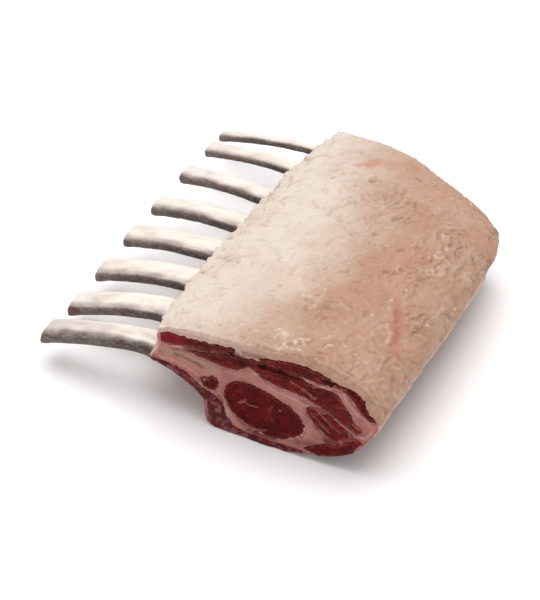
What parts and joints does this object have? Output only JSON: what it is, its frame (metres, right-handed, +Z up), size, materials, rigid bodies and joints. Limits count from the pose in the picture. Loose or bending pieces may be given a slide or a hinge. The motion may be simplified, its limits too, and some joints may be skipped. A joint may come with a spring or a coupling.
{
  "type": "rack of lamb",
  "caption": "Raw frenched rack of lamb: a loin of layered lean with its cap of fat, and bare rib bones arching out along one side.",
  "frame": {"origin": "centre of the base: under the middle of the overall box, at the height of the surface it rests on", "axes": "+X from the bare rib tips to the backbone side, +Y along the spine from the shoulder cut to the loin cut, +Z up"},
  "size_m": [0.184, 0.2018, 0.0591],
  "materials": {
    "fat": "cream fat, slightly waxy",
    "seam_fat": "pink fat between the muscles, moist",
    "lean": "dark red raw lean, moist",
    "inner_lean": "red lean under a thin membrane, moist",
    "bone": "scraped bone, cream and slightly glossy"
  },
  "bodies": {
    "root": {"fat_cap": "fat", "seam_fat": "seam_fat", "flap_muscle": "lean", "strip_muscle": "lean", "cap_muscle": "lean", "eye_muscle": "lean", "wedge_muscle": "lean", "round_muscle": "lean", "edge_muscle": "lean", "inner_meat": "inner_lean", "rib_1": "bone", "rib_2": "bone", "rib_3": "bone", "rib_4": "bone", "rib_5": "bone", "rib_6": "bone", "rib_7": "bone", "rib_8": "bone"}
  },
  "joints": []
}
